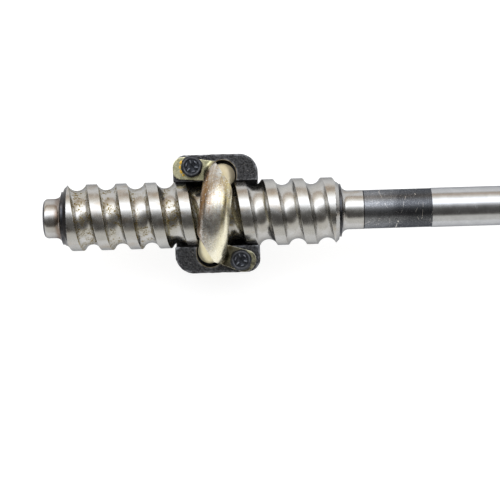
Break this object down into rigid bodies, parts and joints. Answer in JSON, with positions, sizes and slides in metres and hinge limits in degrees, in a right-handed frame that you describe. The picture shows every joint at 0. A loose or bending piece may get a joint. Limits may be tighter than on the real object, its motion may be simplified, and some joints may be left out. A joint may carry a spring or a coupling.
{
  "type": "ball screw assembly",
  "caption": "Steering-box worm shaft with a recirculating-ball half nut, its transfer tube held by a two-eared pressed clamp and hex bolts.",
  "frame": {"origin": "centre of the object's box, which is on the worm's axis", "axes": "+X along the worm shaft towards its input end, +Z out of the open side of the half nut, past the transfer tube; the nut's flat back faces -Z"},
  "size_m": [0.305, 0.0576, 0.0662],
  "materials": {
    "ground_steel": "ground steel, oiled, with varnish stains in the ball track and a black oxide band",
    "phosphated_nut": "charcoal-black phosphate, fine grain, paler worn edges",
    "pale_zinc": "pale yellow zinc plate, satin",
    "yellow_chromate": "yellow-gold chromate plate, mottled",
    "black_bolt": "black oxide",
    "spring_steel_black": "black oxide spring steel",
    "ball_steel": "polished chrome steel",
    "bush_steel": "turned steel",
    "sintered_bronze": "oil-filled sintered bronze",
    "ring_steel": "dark spring steel"
  },
  "bodies": {
    "column": {"column_bush": "sintered_bronze"},
    "worm": {"worm_shaft": "ground_steel", "retaining_ring_inner": "ring_steel", "retaining_ring_outer": "ring_steel"},
    "nut": {"half_nut": "phosphated_nut", "transfer_tube": "pale_zinc", "tube_clamp": "yellow_chromate", "clamp_bolt_upper": "black_bolt", "clamp_bolt_lower": "black_bolt", "spring_washer_upper": "spring_steel_black", "spring_washer_lower": "spring_steel_black", "peg_bush": "bush_steel", "ball_01": "ball_steel", "ball_02": "ball_steel", "ball_03": "ball_steel", "ball_04": "ball_steel", "ball_05": "ball_steel", "ball_06": "ball_steel", "ball_07": "ball_steel", "ball_08": "ball_steel", "ball_09": "ball_steel", "ball_10": "ball_steel", "ball_11": "ball_steel", "ball_12": "ball_steel", "ball_13": "ball_steel"}
  },
  "joints": [
    {"name": "worm_turn", "type": "hinge", "parent": "column", "child": "worm", "pos_m": [0.118, 0, 0], "axis": [1, 0, 0], "range_deg": [-720, 1080]},
    {"name": "nut_travel", "type": "slide", "parent": "column", "child": "nut", "axis": [1, 0, 0], "range_m": [-0.0435, 0.029]}
  ],
  "couplings": [
    {"joint": "nut_travel", "follows": "worm_turn", "m_per_rad": -0.0022739}
  ]
}
